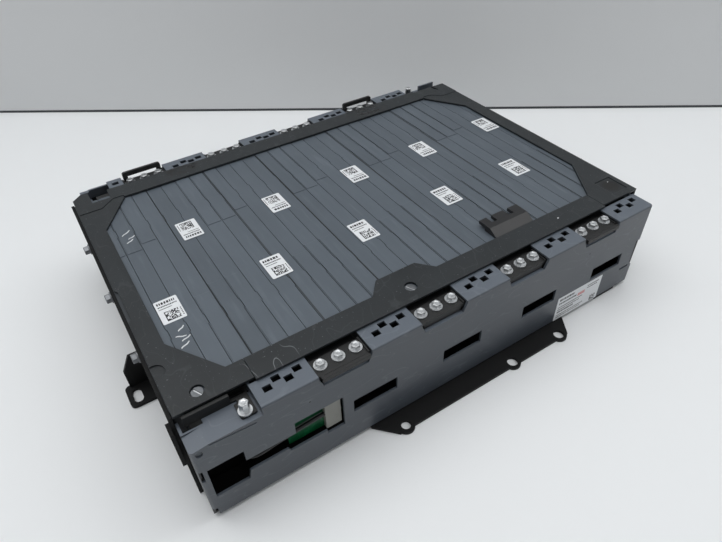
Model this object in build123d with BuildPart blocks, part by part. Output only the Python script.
from build123d import *
import os

os.makedirs("parts", exist_ok=True)

# Cell stack. X runs along the stack, -Y is the front, Z = 0 is the underside.
cell_pitch = 15.8
cells_per_group = 3
group_count = 10
cell_gap = 0.4
cell_half_length = 150.0
cell_height = 102.0
cell_step = 0.5
step_y = 40.5
step_y_last = 49.0
key_y = 72.0
key_length = 12.5
key_depth = 0.9
cell_count = cells_per_group * group_count
group_pitch = cells_per_group * cell_pitch
stack_half = cell_count * cell_pitch / 2

# Base plate with its forward mounting flange
base_thickness = 3.0
flange_left = -98.0
flange_right = 139.0
flange_reach = cell_half_length + 51.5
flange_taper = 18.0
flange_hole_y = cell_half_length + 47.3
flange_hole_x = [-71.5, 55.5, 118.5]
flange_hole_radii = [4.5, 5.25, 5.25]
ear_radius = 8.2
tongue_left = 190.0
tongue_right = 220.0
tongue_reach = cell_half_length + 31.5

# Levels
cell_bottom = base_thickness
cell_top = cell_bottom + cell_height
rail_bottom = cell_top + cell_step
rail_thickness = 2.0
lid_top = cell_top - 0.5
tray_top = cell_top - 4.3
tray_thickness = 3.0
tray_bottom = tray_top - tray_thickness

# Ends of the stack
end_frame_thickness = 7.4
end_frame_outer = stack_half + end_frame_thickness
end_plate_thickness = 3.0
end_plate_outer = end_frame_outer + end_plate_thickness
end_plate_half_width = cell_half_length + 5.0
end_plate_top = cell_top - 1.0
end_bolt_y = [-80.0, 0.0, 80.0]
end_bolt_z = cell_top - 7.0
end_bolt_hole_radius = 3.2
end_bolt_hole_floor = 1.0
end_tab_bottom = cell_top - 53.0
end_tab_top = cell_top - 13.0
end_tab_length = 12.0

# Slotted mounting foot on the left end plate
mount_foot_y = -29.75
mount_foot_width = 27.5
mount_foot_corner = 5.0
mount_slot_y = -31.5
mount_foot_reach = 23.0
mount_slot_reach = 14.2
mount_slot_length = 17.0
mount_slot_width = 8.5
gusset_height = 42.0
gusset_straight = 24.0
gusset_top_width = 8.5
gusset_thickness = 3.0
gusset_reach = 17.5
gusset_hole_reach = 3.4
gusset_hole_z = 29.5
gusset_hole_radius = 2.2

# Top frame
opening_x = 227.0
opening_y = cell_half_length - 14.0
gusset_x = 196.0
gusset_y = cell_half_length - 62.0
rail_outer_x = end_frame_outer - 0.4
rail_outer_y = cell_half_length + 9.5
corner_y = cell_half_length + 7.0
left_joint_x = -182.0
right_joint_x = 195.0
joint_gap = 0.5
rear_joint_y = cell_half_length - 22.8
rear_step_x = 221.7
rear_shoulder_x = 207.5
rear_shoulder_y = cell_half_length - 11.2
rear_corner_x = 234.8
rear_corner_y = cell_half_length + 15.3
rear_notch_left = -227.5
rear_notch_right = -208.8
rear_notch_y = cell_half_length - 7.5
rear_slot_x = 225.4
rear_slot_length = 11.0
rear_slot_width = 3.0
rear_slot_angle = 110
rear_rail_extra = 0.4
rear_slot_y = cell_half_length + 0.2
lip_height = 6.0
lip_thickness = 1.8
hump_x = -30.6
hump_half_foot = 33.5
hump_half_top = 20.5
hump_y = cell_half_length - 29.0
stud_hole_radius = 5.5
corner_hole_x = -221.5
corner_hole_y = -cell_half_length + 5.0
hump_hole_y = -cell_half_length + 6.2
pad_recess = 0.8
pad_x = 228.0
pad_y = -cell_half_length + 12.0
pad_length = 21.5
pad_width = 23.5
edge_recess_start = -50.0
edge_recess_end = -5.0
edge_recess_depth = 2.4
crescent_y = -cell_half_length + 38.0
crescent_radius = 7.5
crescent_inset = 2.0
crescent_depth = 1.2

# Front and rear covers
cover_end_clearance = 0.2
cover_left_reach = end_frame_outer - cover_end_clearance
cover_right_reach = 239.0
cover_face_y = cell_half_length + 32.4
cover_wall = 2.2
cover_bottom = base_thickness + 1.6
cover_corner_radius = 3.0
cover_fold_radius = 1.6
foot_step_reach = 240.2
foot_step_z = 13.6
lid_thickness = 2.0
lid_back_y = cell_half_length + 8.5
cover_end_y = cell_half_length + 3.5
pocket_half = 23.5
pocket_shoulder = 3.0
notch_half = 20.0
notch_bottom = cell_top - 12.0
ledge_thickness = 2.0
ledge_seat = 0.1
ledge_y = cell_half_length + 28.2
window_width = 43.3
window_height = 15.1
window_bottom = 39.3
window_x = [-92.5, 0.7, 95.5, 190.5]
front_slot_offsets = [(-11.8, lid_back_y + 10.7), (-2.8, lid_back_y + 5.7),
                      (5.5, lid_back_y + 10.8), (14.6, lid_back_y + 6.2)]
rear_slot_offsets = [(11.5, lid_back_y + 10.3), (1.4, lid_back_y + 14.2),
                     (-6.8, lid_back_y + 11.2), (-16.2, lid_back_y + 13.7)]
lid_slot_length = 6.8
lid_slot_width = 5.5
harness_window = [(-237.5, 66.6), (-209.0, 66.6), (-209.0, 54.0), (-167.0, 54.0), (-167.0, 66.6),
                  (-123.7, 66.6), (-123.7, 30.0), (-140.0, 30.0), (-140.0, 34.0), (-173.0, 34.0),
                  (-175.0, 38.5), (-208.0, 38.5), (-210.0, 29.0), (-237.5, 29.0)]
end_notch = [(241.0, 60.8), (231.5, 62.0), (232.0, 32.4), (241.0, 24.0)]
end_slot_x = 224.5
end_slot_z = 29.2
end_slot_length = 13.0
end_slot_height = 2.6
end_hole_x = -242.0
end_hole_z = 61.6
end_hole_width = 2.6
end_hole_height = 13.5

# Low terminal shelf at each cover's left end, and the rear cover's low right end
shelf_top = cell_top - 9.5
shelf_right = -188.5
shelf_back_y = cell_half_length + 7.5
shelf_back_x = -201.0
recess_right = -227.0
recess_y = cell_half_length + 14.4
ridge_front_y = cell_half_length + 16.0
dish_x = -230.5
dish_depth = 2.1
slit_left = (-230.0, shelf_top - 1.0)
slit_right = (-194.3, shelf_top - 3.5)
slit_height = 1.0
oval_x = -238.2
oval_z = cell_top - 15.6
oval_half_width = 2.6
oval_half_height = 3.6
blind_depth = 1.2
end_pocket_left = 205.0
end_pocket_right = 225.3
end_block_right = 234.4
end_block_back_y = cell_half_length + 21.4
end_block_front_y = cell_half_length + 26.0
rear_bar_left = -239.0
rear_bar_x = -214.2
rear_bar_y = cell_half_length + 22.0
rear_bar_top = cell_top + 1.0

# Carriers, trays, bolts and loops
carrier_half_length = 236.0
carrier_wall = 2.5
carrier_block_bottom = cell_top - 17.0
carrier_block_half = 21.0
carrier_block_y = cell_half_length + 26.0
carrier_post_y = cell_half_length + 11.0
carrier_post_width = 16.0
pad_block_width = 12.0
tray_half = 23.0
tray_back_y = cell_half_length + 12.0
tray_front_y = cell_half_length + 29.5
tray_lip_bottom = cell_top - 11.0
tray_lip_half = 19.2
tray_lip_thickness = 1.2
rim_width = 1.6
rim_height = 1.2
grip_half = 21.25
grip_back_y = cell_half_length + 31.0
grip_front_y = cell_half_length + 34.0
grip_bottom = cell_top - 6.5
grip_top = cell_top - 2.5
grip_arm = 3.0
bolt_y = cell_half_length + 20.0
bolt_shank_radius = 2.5
bolt_clearance = 0.2
bolt_hole_radius = bolt_shank_radius + bolt_clearance
bolt_flange_radius = 5.5
bolt_flange_thickness = 1.2
bolt_head_across = 6.9
bolt_head_height = 3.6
bolt_chamfer = 0.4
pad_bolt_x = -197.9
pad_bolt_y = cell_half_length + 23.0
pad_bolt_top = cell_top + 2.8
loop_half_width = 21.1
loop_y = cell_half_length + 28.2
loop_bar = 5.0
loop_depth = 3.0
loop_top = cell_top + 5.8
loop_corner = 2.4
busbar_pad_top = shelf_top + 2.0
busbar_pad_left = -203.0
busbar_pad_right = -190.5
busbar_pad_back = cell_half_length + 13.5
busbar_pad_front = cell_half_length + 28.0
busbar_pad_corner = 2.0
busbar_neck_left = -200.0
busbar_link_left = -239.0
busbar_link_right = -204.0
busbar_link_back = cell_half_length + 7.6
busbar_link_front = cell_half_length + 10.4
busbar_link_top = cell_top

# Clip over the front rail, sense board and connector
clip_x = 97.5
clip_half = 23.7
clip_height = 6.3
clip_front_y = -opening_y
clip_crest_y = -cell_half_length + 24.0
clip_root_y = -cell_half_length + 30.2
clip_tip_y = -cell_half_length + 39.0
clip_prong_thickness = 3.4
clip_front_height = 0.8
clip_left_gap_x = -11.9
clip_right_gap_x = 8.9
clip_gap_width = 6.5
board_left = -172.0
board_right = -124.5
board_y = cell_half_length + 24.0
board_thickness = 1.6
board_bottom = 33.0
connector_left = -139.6
connector_right = -125.3
connector_bottom = 33.5
connector_top = 66.0
connector_front_y = cell_half_length + 30.0
wire_radius = 1.8
wire_route = [(connector_left, -178.0, 52.0), (-170.1, -178.0, 49.8), (-188.3, -178.0, 47.5),
              (-204.5, -175.0, 45.0), (-207.5, -164.0, 43.0), (-207.5, -152.5, 42.0)]


def level(z, turn=0):
    """Horizontal plane at height z, turned by 180 for the rear copy of a front piece."""
    return Plane.XY.offset(z).rotated((0, 0, turn))


def group_x(index):
    return -stack_half + group_pitch * (index + 0.5)


def cell_x(index):
    return -stack_half + cell_pitch * (index + 0.5)


def save(builder, name):
    builder.part.label = name
    export_step(builder.part, f"parts/{name}.step")


# Cell cartridges. Each has two keys on its right that sit in notches of its neighbour.
for index in range(cell_count):
    group = index // cells_per_group
    turn = 0 if group % 2 == 0 else 180
    place = index % cells_per_group
    last_in_turn = cells_per_group - 1 if turn == 0 else 0
    step = step_y_last if place == last_in_turn else step_y
    side = -1 if turn else 1
    half = cell_pitch / 2 - cell_gap / 2
    key_centres = [(0, key_y + key_length / 2), (0, -key_y - key_length / 2)]
    with BuildPart() as cartridge:
        with BuildSketch(Plane((cell_x(index), 0, cell_bottom))):
            Rectangle(2 * half, 2 * cell_half_length)
            with Locations(*[(-half, y) for _, y in key_centres]):
                Rectangle(2 * key_depth, key_length, mode=Mode.SUBTRACT)
            with Locations(*[(half, y) for _, y in key_centres]):
                Rectangle(2 * key_depth, key_length - 2 * cell_gap)
        extrude(amount=cell_height)
        raised_length = cell_half_length - step
        with BuildSketch(Plane((cell_x(index), 0, cell_top))):
            with Locations((0, side * (step + raised_length / 2))):
                Rectangle(2 * half - 2 * key_depth, raised_length)
        extrude(amount=cell_step)
    save(cartridge, f"cartridge_{index + 1:02d}")

# Base plate with its flange, and a tongue to the right of it
with BuildPart() as base_plate:
    with BuildSketch(level(0)):
        Rectangle(2 * end_frame_outer, 2 * cell_half_length)
        Polygon((flange_left, -cell_half_length), (flange_right, -cell_half_length),
                (flange_right, -cover_face_y), (flange_hole_x[2] + ear_radius, -flange_reach),
                (flange_left + flange_taper, -flange_reach), (flange_left, -cover_face_y), align=None)
        with Locations(*[(x, -flange_hole_y) for x in flange_hole_x]):
            Circle(ear_radius)
        Polygon((tongue_left, -cell_half_length), (tongue_right, -cell_half_length),
                (tongue_right, -tongue_reach), (tongue_left, -tongue_reach), align=None)
        for x, radius in zip(flange_hole_x, flange_hole_radii):
            with Locations((x, -flange_hole_y)):
                Circle(radius, mode=Mode.SUBTRACT)
    extrude(amount=base_thickness)
save(base_plate, "base_plate")

# End frames. The right one takes the last cartridge's keys in its own notches.
for name, sign in [("left_end_frame", -1), ("right_end_frame", 1)]:
    with BuildPart() as end_frame:
        with BuildSketch(Plane((sign * (stack_half + end_frame_thickness / 2), 0, cell_bottom))):
            Rectangle(end_frame_thickness, 2 * cell_half_length)
        extrude(amount=rail_bottom - cell_bottom)
        if sign > 0:
            with BuildSketch(Plane((stack_half, 0, cell_bottom))):
                with Locations(*[(0, s * (key_y + key_length / 2)) for s in (-1, 1)]):
                    Rectangle(2 * key_depth, key_length)
            extrude(amount=rail_bottom - cell_bottom, mode=Mode.SUBTRACT)
        hole_depth = end_frame_thickness - end_bolt_hole_floor
        bolt_level = (sign * end_frame_outer, 0, end_bolt_z)
        bolt_plane = Plane(origin=bolt_level, x_dir=(0, 1, 0), z_dir=(-sign, 0, 0))
        with BuildSketch(bolt_plane):
            with Locations(*[(y, 0) for y in end_bolt_y]):
                Circle(end_bolt_hole_radius)
        extrude(amount=hole_depth, mode=Mode.SUBTRACT)
    save(end_frame, name)

# End plates, with the slotted foot and its gusset on the left one
for name, sign in [("left_end_plate", -1), ("right_end_plate", 1)]:
    with BuildPart() as end_plate:
        plate_face = Plane(origin=(sign * end_frame_outer, 0, 0), x_dir=(0, 1, 0), z_dir=(sign, 0, 0))
        up = plate_face.y_dir.Z
        with BuildSketch(plate_face):
            with Locations((0, up * end_plate_top / 2)):
                Rectangle(2 * end_plate_half_width, end_plate_top)
            with Locations(*[(y, up * end_bolt_z) for y in end_bolt_y]):
                Circle(end_bolt_hole_radius, mode=Mode.SUBTRACT)
        extrude(amount=end_plate_thickness)
        tab_y = sign * (end_plate_half_width - end_plate_thickness / 2)
        tab_x = sign * (end_plate_outer + end_plate_thickness / 2)
        with BuildSketch(Plane((tab_x, tab_y, end_tab_bottom))):
            Rectangle(end_plate_thickness, end_tab_length)
        extrude(amount=end_tab_top - end_tab_bottom)
        if sign < 0:
            with BuildSketch(level(0)) as foot:
                with Locations((-end_plate_outer - mount_foot_reach / 2, mount_foot_y)):
                    Rectangle(mount_foot_reach, mount_foot_width)
                fillet(foot.vertices().group_by(Axis.X)[0], radius=mount_foot_corner)
                with Locations((-end_plate_outer - mount_slot_reach, mount_slot_y)):
                    SlotOverall(mount_slot_length, mount_slot_width, rotation=90, mode=Mode.SUBTRACT)
            extrude(amount=base_thickness)
            gusset_rear_y = mount_foot_y + mount_foot_width / 2
            gusset_plane = Plane(origin=(0, gusset_rear_y, 0), x_dir=(1, 0, 0), z_dir=(0, -1, 0))
            edge_x = -end_plate_outer
            with BuildSketch(gusset_plane):
                Polygon((edge_x, 0), (edge_x - gusset_reach, 0), (edge_x - gusset_reach, gusset_straight),
                        (edge_x - gusset_top_width, gusset_height), (edge_x, gusset_height), align=None)
                with Locations((edge_x - gusset_hole_reach, gusset_hole_z)):
                    Circle(gusset_hole_radius, mode=Mode.SUBTRACT)
            extrude(amount=gusset_thickness)
    save(end_plate, name)

# Side rails of the top frame
with BuildPart() as left_rail:
    with BuildSketch(level(rail_bottom)):
        Polygon((-rail_outer_x, -corner_y), (left_joint_x, -corner_y), (left_joint_x, -opening_y),
                 (-gusset_x, -opening_y), (-opening_x, -gusset_y), (-opening_x, gusset_y),
                 (-gusset_x - 0.5, opening_y - 0.8), (-gusset_x - 1.6, rear_shoulder_y - joint_gap),
                 (-rear_shoulder_x, rear_shoulder_y - joint_gap), (-rear_step_x, rear_joint_y - joint_gap),
                 (-rail_outer_x, rear_joint_y - joint_gap), (-rail_outer_x, edge_recess_end),
                 (-rail_outer_x + edge_recess_depth, edge_recess_end - 3),
                 (-rail_outer_x + edge_recess_depth, edge_recess_start + 3),
                 (-rail_outer_x, edge_recess_start), align=None)
        with Locations((corner_hole_x, corner_hole_y)):
            Circle(stud_hole_radius, mode=Mode.SUBTRACT)
    extrude(amount=rail_thickness)
    with BuildSketch(level(rail_bottom + rail_thickness)):
        with Locations((-rail_outer_x + crescent_inset, crescent_y)):
            Circle(crescent_radius)
    extrude(amount=-crescent_depth, mode=Mode.SUBTRACT)
save(left_rail, "left_rail")

with BuildPart() as right_rail:
    with BuildSketch(level(rail_bottom)):
        Polygon((rail_outer_x, -corner_y), (right_joint_x, -corner_y), (right_joint_x, -opening_y),
                 (gusset_x, -opening_y), (opening_x, -gusset_y), (opening_x, gusset_y),
                 (gusset_x + 0.5, opening_y - 0.8), (gusset_x + 1.6, rear_shoulder_y - joint_gap),
                 (rear_shoulder_x, rear_shoulder_y - joint_gap), (rear_step_x, rear_joint_y - joint_gap),
                 (rail_outer_x, rear_joint_y - joint_gap), align=None)
    extrude(amount=rail_thickness)
    with BuildSketch(level(rail_bottom + rail_thickness)):
        with Locations((pad_x, pad_y)):
            Rectangle(pad_length, pad_width)
    extrude(amount=-pad_recess, mode=Mode.SUBTRACT)
save(right_rail, "right_rail")

# Front rail with its hump, and rear rail over the side rails' ends
with BuildPart() as front_rail:
    left = left_joint_x + joint_gap
    right = right_joint_x - joint_gap
    with BuildSketch(level(rail_bottom)):
        Polygon((left, -rail_outer_y), (right, -rail_outer_y), (right, -opening_y),
                 (hump_x + hump_half_foot, -opening_y), (hump_x + hump_half_top, -hump_y),
                 (hump_x - hump_half_top, -hump_y), (hump_x - hump_half_foot, -opening_y),
                 (left, -opening_y), align=None)
        with Locations((hump_x, hump_hole_y)):
            Circle(stud_hole_radius, mode=Mode.SUBTRACT)
    extrude(amount=rail_thickness)
    with BuildSketch(level(rail_bottom)):
        with Locations(((left + right) / 2, -rail_outer_y + 4.0)):
            Rectangle(right - left, lip_thickness)
    extrude(amount=-2.5)
save(front_rail, "front_rail")

with BuildPart() as rear_rail:
    with BuildSketch(level(rail_bottom)):
        Polygon((-rail_outer_x, rear_joint_y), (-rear_step_x + 0.2, rear_joint_y),
                (-rear_shoulder_x + 0.2, rear_shoulder_y), (-gusset_x - 1.0, rear_shoulder_y),
                (-gusset_x + 0.6, opening_y), (gusset_x - 0.6, opening_y), (gusset_x + 1.0, rear_shoulder_y),
                (rear_shoulder_x - 0.2, rear_shoulder_y), (rear_step_x - 0.2, rear_joint_y),
                (rail_outer_x, rear_joint_y), (rail_outer_x, corner_y), (right_joint_x, corner_y),
                (right_joint_x, rail_outer_y), (rear_notch_right, rail_outer_y),
                (rear_notch_right, rear_notch_y),
                (rear_notch_left, rear_notch_y), (rear_notch_left, rear_corner_y),
                (-rear_corner_x, rear_corner_y), (-rail_outer_x, corner_y), align=None)
        with Locations((rear_slot_x, rear_slot_y)):
            SlotOverall(rear_slot_length, rear_slot_width, rotation=rear_slot_angle, mode=Mode.SUBTRACT)
    extrude(amount=rail_thickness + rear_rail_extra)
save(rear_rail, "rear_rail")

# Covers. Each is one moulding: a face, a bottom, two ends, lids between the trays and a low terminal shelf.
front_groups = [2, 4, 6, 8]
lid_groups = [1, 3, 5, 7, 9]
lid_bottom = lid_top - lid_thickness
inner_y = cover_face_y - cover_wall
end_in_left = cover_wall - cover_left_reach
end_in_right = cover_right_reach - cover_wall
for name, turn, offsets in [("front_cover", 0, front_slot_offsets), ("rear_cover", 180, rear_slot_offsets)]:
    face = Plane(origin=(0, -cover_face_y - 1, 0), x_dir=(1, 0, 0), z_dir=(0, -1, 0))
    if turn:
        face = Plane(origin=(0, cover_face_y + 1, 0), x_dir=(-1, 0, 0), z_dir=(0, 1, 0))
    with BuildPart() as cover:
        with BuildSketch(level(cover_bottom, turn)):
            Polygon((-cover_left_reach, -cover_end_y), (cover_right_reach, -cover_end_y),
                    (cover_right_reach, -cover_face_y), (-cover_left_reach, -cover_face_y), align=None)
        extrude(amount=lid_top - cover_bottom)
        upright = cover.edges().filter_by(Axis.Z).sort_by(Axis.Y)
        fillet(upright[:2] if turn == 0 else upright[-2:], radius=cover_corner_radius)
        fold = cover.edges().filter_by(Axis.X).group_by(Axis.Z)[-1].sort_by(Axis.Y)
        fillet(fold[0] if turn == 0 else fold[-1], radius=cover_fold_radius)
        # hollow from the bottom wall up to the shelf, then on up to the lids
        with BuildSketch(level(cover_bottom + cover_wall, turn)):
            Polygon((end_in_left, 1 - cover_end_y), (end_in_right, 1 - cover_end_y),
                    (end_in_right, -inner_y), (end_in_left, -inner_y), align=None)
        extrude(amount=shelf_top - cover_bottom - 2 * cover_wall, mode=Mode.SUBTRACT)
        upper_right = end_pocket_right if turn else end_in_right
        with BuildSketch(level(shelf_top - cover_wall, turn)):
            Polygon((shelf_right + cover_wall, 1 - cover_end_y), (upper_right, 1 - cover_end_y),
                    (upper_right, -inner_y), (shelf_right + cover_wall, -inner_y), align=None)
        extrude(amount=lid_bottom - shelf_top + cover_wall, mode=Mode.SUBTRACT)
        # room above the shelf, and for the top frame behind the lids
        with BuildSketch(level(shelf_top, turn)):
            Polygon((-cover_left_reach - 1, 1 - cover_end_y), (shelf_right, 1 - cover_end_y),
                    (shelf_right, -cover_face_y - 1), (-cover_left_reach - 1, -cover_face_y - 1), align=None)
        extrude(amount=lid_top, mode=Mode.SUBTRACT)
        with BuildSketch(level(lid_bottom, turn)):
            Polygon((shelf_right, 1 - cover_end_y), (cover_right_reach + 1, 1 - cover_end_y),
                    (cover_right_reach + 1, -lid_back_y), (shelf_right, -lid_back_y), align=None)
        extrude(amount=lid_thickness + 1, mode=Mode.SUBTRACT)
        # the shelf's back edge and the recess at its left
        with BuildSketch(level(shelf_top - cover_wall, turn)):
            Polygon((end_in_left, 1 - cover_end_y), (recess_right, 1 - cover_end_y),
                    (recess_right, -recess_y), (end_in_left, -recess_y), align=None)
            Polygon((recess_right, 1 - cover_end_y), (shelf_right, 1 - cover_end_y),
                    (shelf_right, -shelf_back_y),
                    (shelf_back_x, -shelf_back_y), (recess_right, -cover_end_y), align=None)
        extrude(amount=cover_wall + 1, mode=Mode.SUBTRACT)
        with BuildSketch(face.offset(-1 - cover_face_y + ridge_front_y)):
            Polygon((dish_x, shelf_top + 1), (dish_x, shelf_top),
                    (-cover_left_reach - 1, shelf_top - dish_depth),
                    (-cover_left_reach - 1, shelf_top + 1), align=None)
        extrude(amount=cover_face_y + 2 - ridge_front_y, mode=Mode.SUBTRACT)
        # tray pockets and lid slots
        with BuildSketch(level(lid_bottom - 1, turn)):
            with Locations(*[(group_x(g), -(cover_end_y + cover_face_y) / 2) for g in front_groups]):
                Rectangle(2 * pocket_half, cover_face_y - cover_end_y + 2)
            spots = [(group_x(g) + dx, -y) for g in lid_groups for dx, y in offsets]
            if turn:
                spots = [spot for spot in spots if spot[0] < end_pocket_left - lid_slot_length]
            with Locations(*spots):
                Rectangle(lid_slot_length, lid_slot_width)
        extrude(amount=lid_thickness + 2, mode=Mode.SUBTRACT)
        if turn:
            # the rear cover's right end: a pocket, then a low end that keeps one block
            with BuildSketch(level(lid_bottom - 1, turn)):
                Polygon((end_pocket_left, 1 - cover_end_y), (end_pocket_right, 1 - cover_end_y),
                        (end_pocket_right, -cover_face_y - 1), (end_pocket_left, -cover_face_y - 1),
                        align=None)
            extrude(amount=lid_thickness + 2, mode=Mode.SUBTRACT)
            with BuildSketch(level(shelf_top, turn)):
                Polygon((end_pocket_right, 1 - cover_end_y), (cover_right_reach + 1, 1 - cover_end_y),
                        (cover_right_reach + 1, -cover_face_y - 1), (end_pocket_right, -cover_face_y - 1),
                        align=None)
                Polygon((end_pocket_right, -end_block_back_y), (end_block_right, -end_block_back_y),
                        (end_block_right, -end_block_front_y), (end_pocket_right, -end_block_front_y),
                        align=None, mode=Mode.SUBTRACT)
            extrude(amount=lid_top, mode=Mode.SUBTRACT)
            with BuildSketch(level(shelf_top, turn)):
                with Locations(((rear_bar_left + rear_bar_x) / 2, -rear_bar_y)):
                    Rectangle(rear_bar_x - rear_bar_left, cover_wall)
            extrude(amount=rear_bar_top - shelf_top)
        # cuts through the face, drawn on the face's own plane
        with BuildSketch(face):
            with Locations(*[(x, window_bottom + window_height / 2) for x in window_x]):
                Rectangle(window_width, window_height)
            for g in front_groups:
                x = group_x(g)
                shoulder = lid_top - pocket_shoulder
                Polygon((x - pocket_half, lid_top + 1), (x + pocket_half, lid_top + 1),
                        (x + pocket_half, shoulder),
                        (x + notch_half, notch_bottom), (x - notch_half, notch_bottom),
                        (x - pocket_half, shoulder), align=None)
            with Locations((end_slot_x, end_slot_z)):
                Rectangle(end_slot_length, end_slot_height)
            with Locations((end_hole_x, end_hole_z)):
                Rectangle(end_hole_width, end_hole_height)
            Polygon(*end_notch, align=None)
            Polygon((-cover_left_reach - 1, 0), (-foot_step_reach, 0), (-foot_step_reach, foot_step_z),
                    (-cover_left_reach - 1, foot_step_z), align=None)
            if turn == 0:
                Polygon(*harness_window, align=None)
        extrude(amount=-cover_wall - 1, mode=Mode.SUBTRACT)
        # a thin slit and an oval hollow under the shelf stay blind
        with BuildSketch(face):
            Polygon((slit_left[0], slit_left[1] - slit_height), (slit_right[0], slit_right[1] - slit_height),
                    slit_right, slit_left, align=None)
            with Locations((oval_x, oval_z)):
                Ellipse(oval_half_width, oval_half_height)
        extrude(amount=-1 - blind_depth, mode=Mode.SUBTRACT)
        # ledge inside each notch
        with BuildSketch(level(notch_bottom - ledge_thickness, turn)):
            with Locations(*[(group_x(g), -(ledge_y + inner_y + ledge_seat) / 2) for g in front_groups]):
                Rectangle(2 * notch_half, inner_y + ledge_seat - ledge_y)
        extrude(amount=ledge_thickness)
    save(cover, name)

# Carriers behind the covers
for name, turn in [("front_carrier", 0), ("rear_carrier", 180)]:
    with BuildPart() as carrier:
        with BuildSketch(level(base_thickness, turn)):
            with Locations((0, -cell_half_length - carrier_wall / 2)):
                Rectangle(2 * carrier_half_length, carrier_wall)
        extrude(amount=tray_bottom - base_thickness)
        block_y = cell_half_length + carrier_wall
        with BuildSketch(level(carrier_block_bottom, turn)):
            with Locations(*[(group_x(g), -(block_y + carrier_block_y) / 2) for g in front_groups]):
                Rectangle(2 * carrier_block_half, carrier_block_y - block_y)
        extrude(amount=tray_bottom - carrier_block_bottom)
        with BuildSketch(level(carrier_block_bottom, turn)):
            with Locations((pad_bolt_x, -(block_y + carrier_block_y) / 2)):
                Rectangle(pad_block_width, carrier_block_y - block_y)
        extrude(amount=shelf_top - cover_wall - carrier_block_bottom)
        with BuildSketch(level(carrier_block_bottom, turn)):
            with Locations(*[(group_x(g), -(block_y + carrier_post_y) / 2) for g in lid_groups]):
                Rectangle(carrier_post_width, carrier_post_y - block_y)
        extrude(amount=lid_bottom - carrier_block_bottom)
    save(carrier, name)

# Terminal trays. The first and last front trays carry a bar ahead of their front edge.
for row, turn in [("front", 0), ("rear", 180)]:
    for number, g in enumerate(front_groups, start=1):
        x = group_x(g)
        with_grip = turn == 0 and number in (1, 4)
        with BuildPart() as tray:
            with BuildSketch(level(tray_bottom, turn)):
                with Locations((x, -(tray_back_y + tray_front_y) / 2)):
                    Rectangle(2 * tray_half, tray_front_y - tray_back_y)
                with Locations(*[(x + k * cell_pitch, -bolt_y) for k in (-1, 0, 1)]):
                    Circle(bolt_hole_radius, mode=Mode.SUBTRACT)
            extrude(amount=tray_thickness)
            with BuildSketch(level(tray_lip_bottom, turn)):
                with Locations((x, -tray_front_y + tray_lip_thickness / 2)):
                    Rectangle(2 * tray_lip_half, tray_lip_thickness)
            extrude(amount=tray_bottom - tray_lip_bottom)
            rim_x = tray_half - rim_width / 2
            with BuildSketch(level(tray_top, turn)):
                with Locations(*[(x + s * rim_x, -(tray_back_y + tray_front_y) / 2) for s in (-1, 1)]):
                    Rectangle(rim_width, tray_front_y - tray_back_y)
            extrude(amount=rim_height)
            if with_grip:
                arm_x = grip_half - grip_arm / 2
                with BuildSketch(level(grip_bottom, turn)):
                    with Locations((x, -(grip_back_y + grip_front_y) / 2)):
                        Rectangle(2 * grip_half, grip_front_y - grip_back_y)
                extrude(amount=grip_top - grip_bottom)
                with BuildSketch(level(grip_bottom, turn)):
                    with Locations(*[(x + s * arm_x, -(tray_front_y + grip_back_y) / 2) for s in (-1, 1)]):
                        Rectangle(grip_arm, grip_back_y - tray_front_y)
                extrude(amount=tray_top - grip_bottom)
        save(tray, f"{row}_tray_{number}")

# Main terminal busbars: a bolted pad with an upright link to its left
for name, turn in [("front_terminal_busbar", 0), ("rear_terminal_busbar", 180)]:
    with BuildPart() as busbar:
        with BuildSketch(level(shelf_top, turn)) as pad:
            Polygon((busbar_pad_left, -busbar_pad_front), (busbar_pad_right, -busbar_pad_front),
                    (busbar_pad_right, -busbar_link_back), (busbar_neck_left, -busbar_link_back),
                    (busbar_neck_left, -busbar_pad_back), (busbar_pad_left, -busbar_pad_back), align=None)
            front_corners = pad.vertices().group_by(Axis.Y)[0 if turn == 0 else -1]
            fillet(front_corners, radius=busbar_pad_corner)
            Polygon((busbar_link_right, -busbar_link_front), (busbar_neck_left, -busbar_link_front),
                    (busbar_neck_left, -busbar_link_back), (busbar_link_right, -busbar_link_back), align=None)
            with Locations((pad_bolt_x, -pad_bolt_y)):
                Circle(bolt_hole_radius, mode=Mode.SUBTRACT)
        extrude(amount=busbar_pad_top - shelf_top)
        with BuildSketch(level(shelf_top, turn)):
            Polygon((busbar_link_left, -busbar_link_front), (busbar_link_right, -busbar_link_front),
                    (busbar_link_right, -busbar_link_back), (busbar_link_left, -busbar_link_back), align=None)
        extrude(amount=busbar_link_top - shelf_top)
    save(busbar, name)

# Flange bolts, front and rear
tray_spots = [(cell_x(3 * g + k), -bolt_y) for g in front_groups for k in range(3)]
bolt_rows = [(tray_top, tray_bottom, tray_top + bolt_flange_thickness + bolt_head_height, tray_spots),
             (busbar_pad_top, shelf_top, pad_bolt_top, [(pad_bolt_x, -pad_bolt_y)])]
with BuildPart() as terminal_bolts:
    for seat, tip, top, places in bolt_rows:
        spots = places + [(-x, -y) for x, y in places]
        with BuildSketch(level(seat)):
            with Locations(*spots):
                Circle(bolt_flange_radius)
        extrude(amount=bolt_flange_thickness)
        with BuildSketch(level(seat + bolt_flange_thickness)):
            with Locations(*spots):
                RegularPolygon(bolt_head_across / 2, 6, major_radius=False)
        extrude(amount=top - seat - bolt_flange_thickness)
        top_edges = terminal_bolts.edges().filter_by_position(Axis.Z, top - 0.01, top + 0.01)
        chamfer(top_edges, length=bolt_chamfer)
        with BuildSketch(level(tip)):
            with Locations(*spots):
                Circle(bolt_shank_radius)
        extrude(amount=seat - tip)
save(terminal_bolts, "terminal_bolts")

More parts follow.
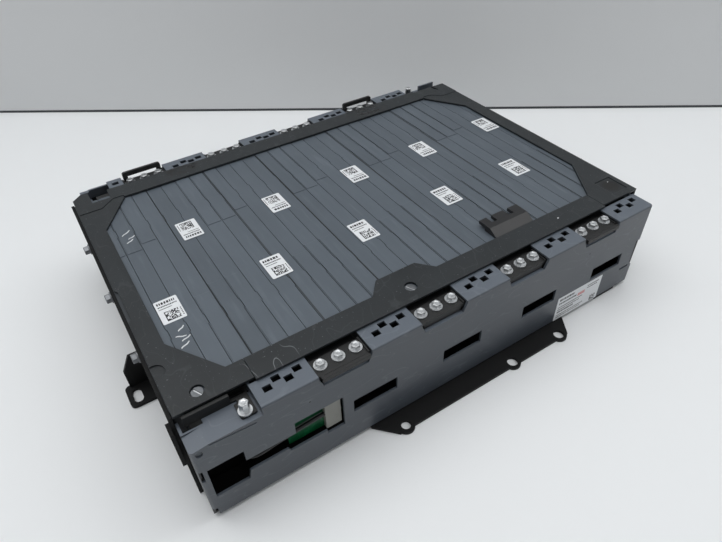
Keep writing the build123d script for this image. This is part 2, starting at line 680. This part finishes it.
# Standing loops on the first and last rear trays
for name, g in [("left_loop", 8), ("right_loop", 2)]:
    loop_foot = (-group_x(g), loop_y + loop_depth / 2, tray_top)
    loop_plane = Plane(origin=loop_foot, x_dir=(1, 0, 0), z_dir=(0, -1, 0))
    height = loop_top - tray_top
    inner_half = loop_half_width - loop_bar
    with BuildPart() as loop:
        with BuildSketch(loop_plane):
            Polygon((-loop_half_width, 0), (-loop_half_width, height), (loop_half_width, height),
                    (loop_half_width, 0), (inner_half, 0), (inner_half, height - loop_bar),
                    (-inner_half, height - loop_bar), (-inner_half, 0), align=None)
        extrude(amount=loop_depth)
        top_corners = loop.edges().filter_by(Axis.Y).group_by(Axis.Z)[-1]
        fillet(top_corners, radius=loop_corner)
    save(loop, name)

# Three-prong clip
with BuildPart() as rail_clip:
    clip_side = Plane(origin=(clip_x - clip_half, 0, 0), x_dir=(0, 1, 0), z_dir=(1, 0, 0))
    crest = rail_bottom + clip_height
    with BuildSketch(clip_side):
        Polygon((clip_front_y, rail_bottom), (clip_front_y, rail_bottom + clip_front_height),
                 (clip_crest_y, crest), (clip_tip_y, crest), (clip_tip_y, crest - clip_prong_thickness),
                 (clip_root_y, crest - clip_prong_thickness), (clip_root_y, rail_bottom), align=None)
    extrude(amount=2 * clip_half)
    with BuildSketch(level(rail_bottom)):
        with Locations((clip_x + clip_left_gap_x, clip_tip_y), (clip_x + clip_right_gap_x, clip_tip_y)):
            Rectangle(clip_gap_width, 2 * (clip_tip_y - clip_root_y))
    extrude(amount=clip_height + 1, mode=Mode.SUBTRACT)
save(rail_clip, "rail_clip")

# Sense board and its connector behind the harness window
with BuildPart() as sense_board:
    with BuildSketch(level(board_bottom)):
        Polygon((board_left, -board_y), (board_right, -board_y),
                 (board_right, -board_y - board_thickness),
                 (board_left, -board_y - board_thickness), align=None)
    extrude(amount=carrier_block_bottom - board_bottom)
save(sense_board, "sense_board")

with BuildPart() as sense_connector:
    with BuildSketch(level(connector_bottom)):
        Polygon((connector_left, -board_y - board_thickness), (connector_right, -board_y - board_thickness),
                 (connector_right, -connector_front_y), (connector_left, -connector_front_y), align=None)
    extrude(amount=connector_top - connector_bottom)
save(sense_connector, "sense_connector")

# Taped loom from the connector, along behind the harness window and back to the carrier
with BuildPart() as sense_harness:
    with BuildLine() as loom_path:
        Spline(*wire_route, tangents=[(-1, 0, 0), (0, 1, 0)])
    with BuildSketch(Plane(origin=wire_route[0], z_dir=(-1, 0, 0))):
        Circle(wire_radius)
    sweep(path=loom_path.line)
save(sense_harness, "sense_harness")
